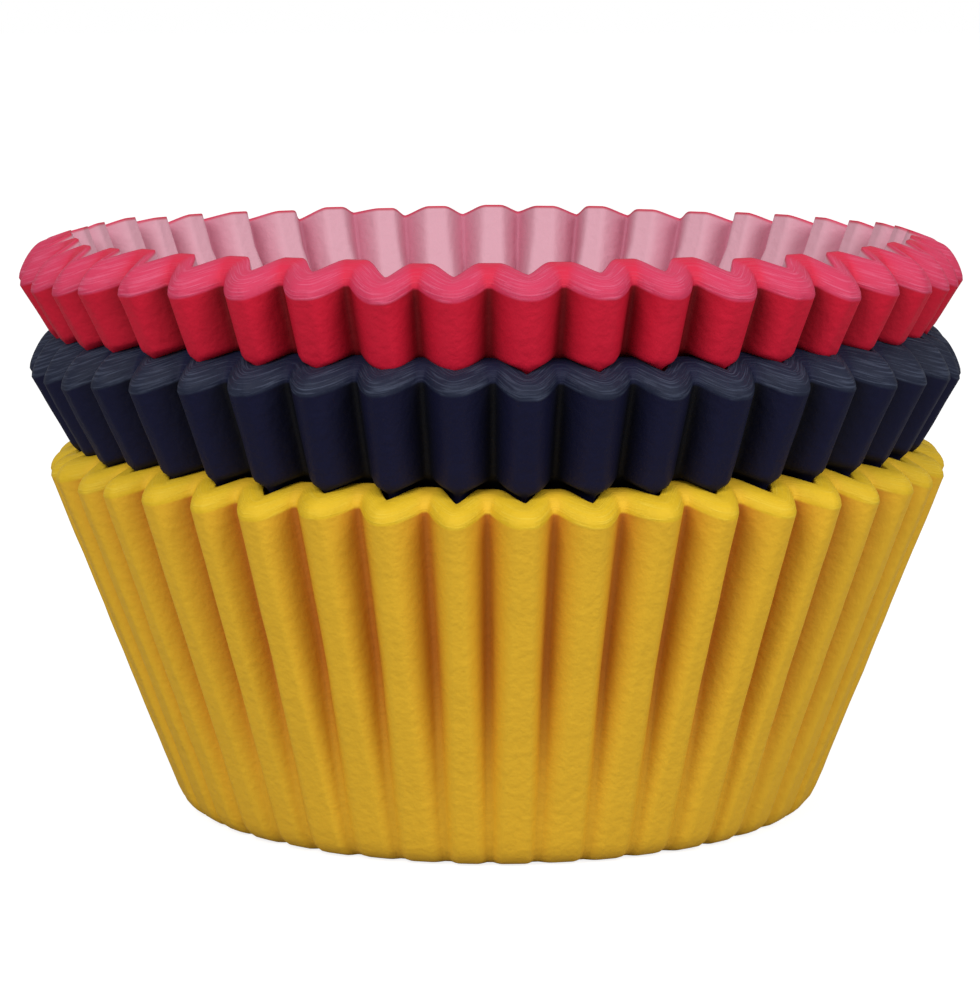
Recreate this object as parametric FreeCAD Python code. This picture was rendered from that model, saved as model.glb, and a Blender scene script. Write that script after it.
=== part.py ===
import FreeCAD
import Part

import math
import os

# A stack of paper baking cups: three tight nests of fluted liners, yellow, navy and pink,
# each nest pushed down into the one below until its crests stop in the notches there.
# Every liner is one round sheet of paper, pleated round a flat base: one folded sheet, one
# solid, one node. The folds of a nest all run towards one point far below it, its apex, so
# the panels between them are flat, as folded paper is, and the sheets nest without
# touching. Where a nest is held in the one below, its crests are squeezed narrow, and just
# above they open out to their full width. The origin is the middle of the lowest base, +Z
# is up, sizes are millimetres.

doc = FreeCAD.newDocument("LinerStack")
sizes = doc.addObject("Spreadsheet::Sheet", "Sizes")

DRIVING_SIZES = [
    ("flute_count", 44, "flutes round one liner"),
    ("liners_per_nest", 8, "liners in each colour"),
    ("base_radius", 26.0, "where a crest's line meets the floor, before the corner is bent"),
    ("corner_bend", 1.5, "length of floor and of wall that the bent base corner takes"),
    ("wall_length", 29.31, "the outermost wall along a crest, from the floor to the rim"),
    ("flute_depth", 2.2, "crest to valley at the outermost rim, square to the wall"),
    ("outer_crest_width", 2.9, "flat of a crest at the rim of a nest's outermost liner"),
    ("outer_valley_width", 0.94, "flat of a valley there"),
    ("inner_crest_width", 0.68, "flat of a crest at the rim of a nest's innermost liner"),
    ("inner_valley_width", 2.54, "flat of a valley there"),
    ("squeezed_crest_width", 0.5, "flat of a crest held in a notch, as wide as if at the rim"),
    ("squeezed_valley_width", 2.9, "flat of a valley beside it, as wide as if at the rim"),
    ("squeezed_flute_depth", 2.6, "crest to valley there, deeper because it is narrower"),
    ("paper_thickness", 0.06, "one sheet of paper, measured square to the wall"),
    ("sheet_spacing", 0.34, "one liner's wall to the next in a nest, at the rim"),
    ("base_spacing", 0.1, "one liner's base to the next in a nest"),
    ("rim_step", 0.18, "how much further up each next liner's rim lies, along the wall"),
    ("seat_clearance", 0.08, "a held crest to the notch that it stops in"),
    ("squeeze_margin", 0.1, "height above the rims below at which the crests begin to open"),
    ("opening_height", 1.6, "height in which a squeezed crest opens to its full width"),
    ("yellow_flare", 20.8, "lean of the yellow crests, in degrees from upright"),
    ("navy_flare", 24.01, "lean of the navy crests"),
    ("pink_flare", 24.52, "lean of the pink crests"),
    ("flute_turn", 3.2, "turn of the first crest from the front, in degrees"),
]
for row, (alias, value, note) in enumerate(DRIVING_SIZES, start=1):
    sizes.set("A%d" % row, note)
    sizes.set("B%d" % row, str(value))
    sizes.setAlias("B%d" % row, alias)
doc.recompute()


def size(alias):
    return float(sizes.get(alias))


FLUTES = int(size("flute_count"))
LINERS = int(size("liners_per_nest"))
HALF_FLUTE = math.pi / FLUTES
NEST_DEPTH = (LINERS - 1) * size("sheet_spacing") + size("paper_thickness")


class Nest:
    """The fold geometry that the liners of one colour share, measured from their apex."""

    def __init__(self, colour, below=None):
        self.lean = math.radians(size(colour + "_flare"))
        self.apex = FreeCAD.Vector(0, 0, -size("base_radius") / math.tan(self.lean))
        self.reach = size("base_radius") / math.sin(self.lean) + size("wall_length")
        self.rim_radius = self.reach * math.sin(self.lean)
        self.half_pitch = self.rim_radius * HALF_FLUTE
        self.lift = 0.0
        self.squeeze_height = None
        if below:
            self.lift = below.lift + self.seat_over(below)
            top = below.lift + below.rim_point(NEST_DEPTH + size("flute_depth"))[1]
            self.squeeze_height = top + size("squeeze_margin") - self.lift

    def rim_reach(self, number):
        return self.reach + number * size("rim_step")

    def rim_point(self, depth):
        """Radius and height of the innermost liner's rim at a depth inside the nest."""
        lean = self.lean - depth / self.reach
        reach = self.rim_reach(LINERS - 1)
        return reach * math.sin(lean), self.apex.z + reach * math.cos(lean)

    def seat_over(self, below):
        """How far above the nest below this one stops: at its crests or at its valleys."""
        seats = [
            (NEST_DEPTH, 0),
            (NEST_DEPTH + size("flute_depth"), size("squeezed_flute_depth")),
        ]
        lifts = []
        for depth_below, own_depth in seats:
            radius, height = below.rim_point(depth_below)
            lean = self.lean - own_depth / self.reach
            free_radius = radius - size("seat_clearance") / math.cos(lean)
            lifts.append(height - (self.apex.z + free_radius / math.tan(lean)))
        return max(lifts)

    def rim_flats(self, depth):
        """Widths of crest and valley at the rim, which change through the nest."""
        share = depth / NEST_DEPTH
        crest = size("outer_crest_width") * (1 - share) + size("inner_crest_width") * share
        valley = size("outer_valley_width") * (1 - share) + size("inner_valley_width") * share
        return crest, valley

    def fold_directions(self, depth, flats, flute_depth):
        """Unit vectors from the apex along the four folds of each flute."""
        crest, valley = flats
        crest_lean = self.lean - depth / self.reach
        valley_lean = crest_lean - flute_depth / self.reach
        folds = [
            (-crest / 2, crest_lean),
            (crest / 2, crest_lean),
            (self.half_pitch - valley / 2, valley_lean),
            (self.half_pitch + valley / 2, valley_lean),
        ]
        front = math.radians(size("flute_turn") - 90)
        directions = []
        for flute in range(FLUTES):
            for across, lean in folds:
                turn = front + 2 * flute * HALF_FLUTE + across / self.rim_radius
                side = math.sin(lean)
                directions.append(
                    FreeCAD.Vector(side * math.cos(turn), side * math.sin(turn), math.cos(lean))
                )
        return directions


def ring_at_height(point, ring, height):
    """Where the lines from a point on the axis through a ring's corners cross a level plane."""
    return [point + (corner - point) * ((height - point.z) / (corner.z - point.z)) for corner in ring]


def wall_rings(nest, depth, floor, reach):
    """Corners of one side of a sheet, from the floor up to the rim, and the lower fold lines."""
    rim_ways = nest.fold_directions(depth, nest.rim_flats(depth), size("flute_depth"))
    rim = [nest.apex + way * reach for way in rim_ways]
    lower = rim
    rings = [rim]
    if nest.squeeze_height is not None:
        flats = (size("squeezed_crest_width"), size("squeezed_valley_width"))
        held_ways = nest.fold_directions(depth, flats, size("squeezed_flute_depth"))
        lower = [nest.apex + way for way in held_ways]
        held = ring_at_height(nest.apex, lower, nest.squeeze_height)
        opened = ring_at_height(nest.apex, rim, nest.squeeze_height + size("opening_height"))
        rings = [held, opened, rim]
    bend = size("corner_bend")
    bend_top = ring_at_height(nest.apex, lower, floor + bend * math.cos(nest.lean))
    crest_radius = math.hypot(bend_top[0].x, bend_top[0].y)
    floor_radius = crest_radius - bend * (1 + math.sin(nest.lean))
    drop = (bend_top[0].z - floor) * crest_radius / (crest_radius - floor_radius)
    bend_apex = FreeCAD.Vector(0, 0, bend_top[0].z - drop)
    return [ring_at_height(bend_apex, bend_top, floor), bend_top] + rings


def panels(lower, upper, flanks_flat):
    """Panels between two rings; a flank that isn't flat is folded along its diagonal."""
    faces = []
    count = len(lower)
    for index in range(count):
        after = (index + 1) % count
        a, b, c, d = lower[index], lower[after], upper[after], upper[index]
        if flanks_flat or index % 2 == 0:
            faces.append(Part.Face(Part.makePolygon([a, b, c, d, a])))
        else:
            faces.append(Part.Face(Part.makePolygon([a, b, c, a])))
            faces.append(Part.Face(Part.makePolygon([a, c, d, a])))
    return faces


def liner_solid(nest, number):
    """One sheet of paper: both sides of wall, bent corner and base, and its cut edge."""
    depth = number * size("sheet_spacing")
    floor = number * size("base_spacing")
    paper = size("paper_thickness")
    reach = nest.rim_reach(number)
    outside = wall_rings(nest, depth, floor, reach)
    inside = wall_rings(nest, depth + paper, floor + paper, reach)
    faces = panels(outside[-1], inside[-1], False)
    for rings in (outside, inside):
        faces.append(Part.Face(Part.makePolygon(rings[0] + rings[0][:1])))
        for level in range(len(rings) - 1):
            faces += panels(rings[level], rings[level + 1], level != 2)
    shell = Part.makeShell(faces)
    shell.sewShape()
    solid = Part.makeSolid(shell)
    if solid.Volume < 0:
        solid.reverse()
    return solid


nest = None
for colour in ("yellow", "navy", "pink"):
    nest = Nest(colour, nest)
    for number in range(LINERS):
        label = "%s_liner_%02d" % (colour, number + 1)
        liner = doc.addObject("Part::Feature", label)
        liner.Label = label
        liner.Shape = liner_solid(nest, number)
        liner.Placement = FreeCAD.Placement(FreeCAD.Vector(0, 0, nest.lift), FreeCAD.Rotation())
    print("%s nest lifted %.2f mm, rim radius %.2f mm" % (colour, nest.lift, nest.rim_radius))
doc.recompute()

liners = [item for item in doc.Objects if item.isDerivedFrom("Part::Feature")]
for item in doc.Objects:
    if "Invalid" in item.State or "Error" in item.State:
        raise RuntimeError("%s did not compute: %s" % (item.Label, item.State))
for item in liners:
    if item.Shape.isNull() or not item.Shape.isValid() or item.Shape.Volume <= 0:
        raise RuntimeError("%s has no valid solid" % item.Label)

os.makedirs("parts", exist_ok=True)
for item in liners:
    item.Shape.exportStep("parts/%s.step" % item.Label)
print("%d liners, %.1f mm high" % (len(liners), max(item.Shape.BoundBox.ZMax for item in liners)))
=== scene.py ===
import bmesh
import bpy
import math
import random
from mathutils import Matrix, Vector, noise


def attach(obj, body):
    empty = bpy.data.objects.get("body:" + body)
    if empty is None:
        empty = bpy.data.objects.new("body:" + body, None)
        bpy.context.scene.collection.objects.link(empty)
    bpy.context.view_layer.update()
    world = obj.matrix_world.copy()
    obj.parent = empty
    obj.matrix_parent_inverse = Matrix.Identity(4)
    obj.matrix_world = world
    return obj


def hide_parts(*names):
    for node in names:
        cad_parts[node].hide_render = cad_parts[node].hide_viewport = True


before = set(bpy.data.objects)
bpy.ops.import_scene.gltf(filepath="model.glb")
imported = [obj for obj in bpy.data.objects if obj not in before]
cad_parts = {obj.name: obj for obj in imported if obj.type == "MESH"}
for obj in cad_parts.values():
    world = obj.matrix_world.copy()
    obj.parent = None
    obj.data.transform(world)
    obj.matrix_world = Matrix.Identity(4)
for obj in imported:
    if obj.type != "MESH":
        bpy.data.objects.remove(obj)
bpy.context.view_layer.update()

# The yellow nest: thin greaseproof paper cups, pleated round a flat base and packed so
# tightly that their cut edges make one thick scalloped rim. It stands on the floor.


def share(low, high, part):
    return low + (high - low) * part


def smooth(part):
    part = min(max(part, 0.0), 1.0)
    return part * part * (3 - 2 * part)


def uneven_pleats(seed):
    """Small differences from pleat to pleat: place, width, depth and height of each."""
    dice = random.Random(seed)
    kinds = {"place": 0.05, "dip": 0.06, "wide": 0.04, "deep": 0.1, "proud": 0.15, "tall": 0.26, "sway": 0.07}
    return {kind: [dice.uniform(-most, most) for _ in range(44)] for kind, most in kinds.items()}


def pleat_at(around, up, pleats):
    """Which crest and valley a place round the rim lies between, and how far from the crest."""
    valley = math.floor(around)
    if around < valley + pleats["dip"][valley % 44]:
        valley -= 1
    start = valley + pleats["dip"][valley % 44]
    end = valley + 1 + pleats["dip"][(valley + 1) % 44]
    crest = valley + 1
    middle = valley + 0.5 + pleats["place"][crest % 44] + pleats["sway"][crest % 44] * (1 - up)
    if around < middle:
        return crest % 44, valley % 44, 0.5 * (middle - around) / (middle - start)
    return crest % 44, (valley + 1) % 44, 0.5 * (around - middle) / (end - middle)


def fold_depth(part, crest_half, valley_half, pinch):
    """0 on a crest, 1 in a valley: a round crest and a tight valley, or pinched the reverse."""
    run = (part - crest_half) / (0.5 - crest_half - valley_half)
    run = min(max(run, 0.0), 1.0)
    round_crest = 1 - math.cos(run * math.pi / 2)
    tight_crest = share(smooth(run), math.sin(run * math.pi / 2), 0.5)
    return share(round_crest, tight_crest, pinch)


def nest_of_liners(name, lean, lift, aside, turn, held_to, droop, seed):
    """A closed shell round a packed nest: outside wall, scalloped rim, inside wall and bases."""
    base, wall_length, nest_depth, rim_rise, bend = 26.0, 29.86, 2.45, 0.7, 1.8
    pleats = uneven_pleats(seed)
    reach = base / math.sin(lean) + wall_length
    apex = -base / math.tan(lean)
    foot = lift + bend * math.cos(lean)
    wall_height = (wall_length - bend) * math.cos(lean)
    seat = (held_to - foot) / wall_height if held_to else 0.0
    around_steps = 44 * 30

    def place(step, height_part, depth_part):
        """One point of the nest, and how much painted fold shade its colour gets there: none on the base."""
        around = step / 30.0 + 0.5
        up = max(height_part, 0.0)
        crest, valley, part = pleat_at(around, up, pleats)
        inside = smooth(depth_part)
        held = 0.0
        if held_to:
            held = 1 - smooth((foot + up * wall_height - held_to + 0.8) / 0.95)
        crest_half = share(share(0.2, 0.04, up), 0.0, depth_part) + pleats["wide"][crest] * (1 - inside)
        valley_half = share(share(0.07, 0.035, up), 0.13, depth_part)
        crest_half = share(crest_half, 0.0, held)
        valley_half = share(valley_half, 0.21, held)
        fold = fold_depth(part, crest_half, valley_half, max(inside, held))
        # The flutes grow shallower towards the base, and their painted fold shade fades with them.
        fade = 1.0 if held_to else share(0.3, 1.0, smooth(up / 0.62))
        flute = share(2.25, 2.6, held) * (1 + pleats["deep"][valley]) * fade
        proud = pleats["proud"][crest] * (1 - fold) * (1 - held)
        inward = depth_part * nest_depth + flute * fold - proud + 0.3 * held
        slope = lean - inward / reach
        floor = depth_part * 0.9
        tall = share(pleats["tall"][crest], pleats["tall"][valley] * 0.5, fold)
        low = (floor - apex) / math.cos(slope)
        high = reach + rim_rise * depth_part + tall + 0.55 * math.sin(math.pi * depth_part ** 0.7)
        if height_part >= 0:
            distance = share(low + bend, high, height_part)
            radius = distance * math.sin(slope)
            height = apex + distance * math.cos(slope)
        else:
            curl = min(-height_part, 1.0)
            corner = low * math.sin(slope)
            out = (corner + bend * math.sin(slope), floor + bend * math.cos(slope))
            radius = out[0] * (1 - curl) ** 2 + corner * 2 * curl * (1 - curl) + (corner - bend) * curl ** 2
            height = out[1] * (1 - curl) ** 2 + floor * (1 - (1 - curl) ** 2)
            if height_part < -1:
                radius = share(radius, 19.0, smooth(-height_part - 1))
                radius = radius if height_part > -2 else 19.0 * (3 + height_part)
        angle = turn - math.pi / 2 + 2 * math.pi * (around - 0.5) / 44
        ripple = noise.noise(Vector((around * 0.9, height * 0.35, seed * 3.1 + depth_part)))
        radius += 0.07 * ripple * (1 if height_part > 0 else 0)
        above = max(up - seat, 0.0) / (1 - seat)
        height -= droop * math.cos(angle) ** 2 * above * (1 - inside)
        point = Vector((radius * math.cos(angle) + aside, radius * math.sin(angle), height + lift))
        plain = 1.0 if depth_part >= 1 else 0.0
        return point / 1000.0, share(fold * fade, plain, smooth(-height_part - 1))

    rings = [(-2.98, 0, 0), (-2.5, 0, 0), (-2, 0, 0), (-1.5, 0, 0), (-1.25, 0, 0)]
    rings += [(-1 + level / 5.0, 0, 0) for level in range(5)]
    if held_to:
        rings += [(seat * level / 6.0 * 0.94, 0, 0) for level in range(6)]
        rings += [(seat + (level - 4) * 0.01, 0, 0) for level in range(9)]
        rings += [(share(seat + 0.06, 0.97, level / 6.0), 0, 0) for level in range(7)]
    else:
        rings += [(0.97 * level / 18.0, 0, 0) for level in range(19)]
    rings += [(0.993, 0, 0)]
    rings += [(1, level / 14.0, 1) for level in range(15)]
    rings += [(0.99, 1, 0)]
    rings += [(1 - level / 9.0, 1, 0) for level in range(1, 10)]
    rings += [(-0.33, 1, 0), (-0.67, 1, 0), (-1, 1, 0), (-1.5, 1, 0), (-2, 1, 0), (-2.98, 1, 0)]

    shell = bmesh.new()
    marks = {mark: shell.verts.layers.float.new(mark) for mark in ("valley", "edge", "sheet", "inside")}
    start = bmesh.ops.create_circle(shell, segments=around_steps, radius=0.02)
    ring = start["verts"]
    first = list(ring)
    for count, (height_part, depth_part, edge) in enumerate(rings, start=1):
        for step, vert in enumerate(ring):
            vert.co, fold = place(step, height_part, depth_part)
            # The valley mark says where painted shade darkens the colour of the folds.
            vert[marks["valley"]] = fold
            vert[marks["edge"]] = edge
            vert[marks["sheet"]] = depth_part
            vert[marks["inside"]] = 1.0 if depth_part >= 1 and not edge else 0.0
        if count == len(rings):
            break
        edges = []
        for step, vert in enumerate(ring):
            edges.append(shell.edges.get((vert, ring[(step + 1) % around_steps])))
        grown = bmesh.ops.extrude_edge_only(shell, edges=edges)["geom"]
        fresh = {part for part in grown if isinstance(part, bmesh.types.BMVert)}
        above = []
        for vert in ring:
            above.append(next(e.other_vert(vert) for e in vert.link_edges if e.other_vert(vert) in fresh))
        ring = above
    for end in (first, ring):
        middle = sum((v.co for v in end), Vector()) / len(end)
        bmesh.ops.pointmerge(shell, verts=end, merge_co=middle)
    bmesh.ops.recalc_face_normals(shell, faces=shell.faces)
    for face in shell.faces:
        face.smooth = True
    mesh = bpy.data.meshes.new(name)
    shell.to_mesh(mesh)
    shell.free()
    nest = bpy.data.objects.new(name, mesh)
    bpy.context.scene.collection.objects.link(nest)
    return nest


def dye(red, green, blue):
    """A paper colour as it looks on a screen, 0 to 255, as the shader wants it."""
    return [((part / 255 + 0.055) / 1.055) ** 2.4 if part > 10 else part / 3300 for part in (red, green, blue)] + [1]


def liner_paper(name, wall, valley, edge, streak, inside, inside_groove_shade):
    """Dyed greaseproof paper with pale cut edges and a fine crumple; painted shade darkens its folds, inside and
    out, and its cut edges deep in the folds.
    """
    paper = bpy.data.materials.new(name)
    paper.use_nodes = True
    nodes, links = paper.node_tree.nodes, paper.node_tree.links
    shader = nodes["Principled BSDF"]
    shader.inputs["Roughness"].default_value = 0.62
    shader.inputs["Specular IOR Level"].default_value = 0.2
    place = nodes.new("ShaderNodeTexCoord")

    def mark(attribute):
        node = nodes.new("ShaderNodeAttribute")
        node.attribute_name = attribute
        return node.outputs["Fac"]

    def blend(factor, under, over):
        node = nodes.new("ShaderNodeMix")
        node.data_type = "RGBA"
        links.new(factor, node.inputs["Factor"])
        for socket, colour in ((node.inputs[6], under), (node.inputs[7], over)):
            if isinstance(colour, list):
                socket.default_value = colour
            else:
                links.new(colour, socket)
        return node.outputs[2]

    def sums(kind, one, other):
        node = nodes.new("ShaderNodeMath")
        node.operation = kind
        node.use_clamp = kind == "MULTIPLY"
        for socket, value in zip(node.inputs, (one, other)):
            if isinstance(value, (int, float)):
                socket.default_value = value
            else:
                links.new(value, socket)
        return node.outputs[0]

    def grain(scale, detail):
        node = nodes.new("ShaderNodeTexNoise")
        node.inputs["Scale"].default_value = scale
        node.inputs["Detail"].default_value = detail
        links.new(place.outputs["Object"], node.inputs["Vector"])
        return node.outputs["Fac"]

    # Painted shade: outside, the colour turns from the wall colour to the darker valley colour towards the bottom of
    # each fold.
    deep = sums("POWER", mark("valley"), 1.6)
    outside = blend(deep, wall, valley)
    # Painted shade inside: the inside's grooves, behind the outer crests, take the darker inside groove colour, and
    # the flats keep the plain inside colour.
    inside_with_groove_shade = blend(mark("valley"), inside_groove_shade, inside)
    paper_with_fold_shade = blend(mark("inside"), outside, inside_with_groove_shade)
    spread = nodes.new("ShaderNodeVectorMath")
    spread.operation = "MULTIPLY"
    spread.inputs[1].default_value = (420, 420, 420)
    links.new(place.outputs["Object"], spread.inputs[0])
    sheets = nodes.new("ShaderNodeCombineXYZ")
    stretch = nodes.new("ShaderNodeMath")
    stretch.operation = "MULTIPLY"
    stretch.inputs[1].default_value = 26.0
    links.new(mark("sheet"), stretch.inputs[0])
    links.new(stretch.outputs[0], sheets.inputs["Z"])
    along = nodes.new("ShaderNodeVectorMath")
    links.new(spread.outputs[0], along.inputs[0])
    links.new(sheets.outputs[0], along.inputs[1])
    streaks = nodes.new("ShaderNodeTexNoise")
    streaks.inputs["Scale"].default_value = 1.0
    streaks.inputs["Detail"].default_value = 3
    links.new(along.outputs[0], streaks.inputs["Vector"])
    picked = nodes.new("ShaderNodeMapRange")
    picked.inputs["From Min"].default_value = 0.48
    picked.inputs["From Max"].default_value = 0.85
    links.new(streaks.outputs["Fac"], picked.inputs["Value"])
    fine = picked.outputs["Result"]
    # Painted shade on the cut edges: deep in the valley folds they turn from the pale edge colour to the darker wall
    # colour.
    cut_fold_shade = sums("MULTIPLY", sums("POWER", mark("valley"), 5), 0.65)
    cut = blend(cut_fold_shade, blend(fine, edge, streak), wall)
    links.new(blend(mark("edge"), paper_with_fold_shade, cut), shader.inputs["Base Color"])

    bump = nodes.new("ShaderNodeBump")
    bump.inputs["Strength"].default_value = 0.4
    bump.inputs["Distance"].default_value = 0.0002
    crumple = sums("ADD", grain(260, 4), grain(1500, 2))
    cuts = sums("MULTIPLY", sums("MULTIPLY", fine, mark("edge")), 0.6)
    links.new(sums("ADD", crumple, cuts), bump.inputs["Height"])
    links.new(bump.outputs["Normal"], shader.inputs["Normal"])
    return paper


yellow = nest_of_liners("yellow_nest", 0.365, 0.0, 0.0, 0.056, None, 0.3, 5)
# Its last colour is painted shade in the inside grooves.
# Its second colour is painted shade deep in the outside folds.
yellow.data.materials.append(liner_paper(
    "yellow_paper", dye(234, 184, 46), dye(196, 118, 34), dye(222, 182, 36), dye(232, 198, 62),
    dye(234, 184, 46), dye(196, 118, 34)))
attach(yellow, "root")
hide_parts(*["yellow_liner_%02d" % (number + 1) for number in range(8)])

# The navy nest: the same paper cups in dark blue, pushed down into the yellow ones. Its
# pleats are squeezed narrow where the yellow rim holds them, and open out above it.

navy = nest_of_liners("navy_nest", 0.407, 9.9, -0.05, 0.060, 30.1, 1.7, 11)
# Its last colour is painted shade in the inside grooves.
# Its second colour is painted shade deep in the outside folds.
navy.data.materials.append(liner_paper(
    "navy_paper", dye(11, 13, 46), dye(6, 7, 16), dye(26, 32, 52), dye(74, 82, 102),
    dye(11, 13, 46), dye(6, 7, 16)))
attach(navy, "root")
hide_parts(*["navy_liner_%02d" % (number + 1) for number in range(8)])

# The pink nest: the top cups, deep pink outside and paler inside, where the dye shows
# through the paper. It is the only nest whose inside can be seen.

pink = nest_of_liners("pink_nest", 0.422, 17.02, -0.48, 0.070, 39.2, 1.4, 17)
# Its last colour is painted shade in the inside grooves.
# Its second colour is painted shade deep in the outside folds.
pink.data.materials.append(liner_paper(
    "pink_paper", dye(210, 24, 54), dye(128, 12, 22), dye(202, 56, 90), dye(218, 100, 132),
    dye(210, 158, 172), dye(198, 120, 142)))
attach(pink, "root")
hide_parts(*["pink_liner_%02d" % (number + 1) for number in range(8)])

# The floor is plain and white and meets a white surround. Its own glow is for the camera
# alone, so the stack's soft shadow still falls on it.

floor_shape = bmesh.new()
bmesh.ops.create_grid(floor_shape, x_segments=1, y_segments=1, size=6.0)
floor_mesh = bpy.data.meshes.new("floor")
floor_shape.to_mesh(floor_mesh)
floor_shape.free()
floor = bpy.data.objects.new("floor", floor_mesh)
bpy.context.scene.collection.objects.link(floor)
card = bpy.data.materials.new("white_card")
card.use_nodes = True
card_nodes, card_links = card.node_tree.nodes, card.node_tree.links
card_shader = card_nodes["Principled BSDF"]
card_shader.inputs["Base Color"].default_value = (0.35, 0.35, 0.35, 1)
card_shader.inputs["Roughness"].default_value = 0.9
card_shader.inputs["Emission Color"].default_value = (1, 1, 1, 1)
ray = card_nodes.new("ShaderNodeLightPath")
glow = card_nodes.new("ShaderNodeMath")
glow.operation = "MULTIPLY"
glow.inputs[1].default_value = 0.84
card_links.new(ray.outputs["Is Camera Ray"], glow.inputs[0])
card_links.new(glow.outputs[0], card_shader.inputs["Emission Strength"])
floor_mesh.materials.append(card)

# Soft studio light: an even white surround, a large lamp above and in front to the left,
# and a slightly weaker one to the right, so that both sides look alike.

surround = bpy.data.worlds.new("surround")
surround.use_nodes = True
bpy.context.scene.world = surround
sky_nodes, sky_links = surround.node_tree.nodes, surround.node_tree.links
sky = sky_nodes["Background"]
sky.inputs["Color"].default_value = (1, 1, 1, 1)
sky_ray = sky_nodes.new("ShaderNodeLightPath")
sky_level = sky_nodes.new("ShaderNodeMapRange")
sky_level.inputs["To Min"].default_value = 0.45
sky_level.inputs["To Max"].default_value = 1.0
sky_links.new(sky_ray.outputs["Is Camera Ray"], sky_level.inputs["Value"])
sky_links.new(sky_level.outputs["Result"], sky.inputs["Strength"])


def soft_lamp(name, where, size, power):
    lamp_data = bpy.data.lights.new(name, "AREA")
    lamp_data.size = size
    lamp_data.energy = power
    lamp = bpy.data.objects.new(name, lamp_data)
    lamp.location = where
    lamp.rotation_euler = (Vector((0, 0, 0.025)) - Vector(where)).to_track_quat("-Z", "Y").to_euler()
    bpy.context.scene.collection.objects.link(lamp)


soft_lamp("left_lamp", (-0.28, -0.52, 0.45), 0.35, 2.7)
soft_lamp("right_lamp", (0.42, -0.42, 0.4), 0.35, 2.1)

# The camera stands about 28 cm in front of the stack and looks slightly down on it, as the
# photograph does. Colours leave it as they are.

lens = bpy.data.cameras.new("camera")
lens.lens = 126.72
lens.sensor_width = 36
camera = bpy.data.objects.new("camera", lens)
camera.location = (-0.000513, -0.281968, 0.065632)
camera.rotation_euler = (math.pi / 2 - 0.142, 0, 0)
bpy.context.scene.collection.objects.link(camera)
bpy.context.scene.camera = camera
bpy.context.scene.view_settings.view_transform = "Standard"
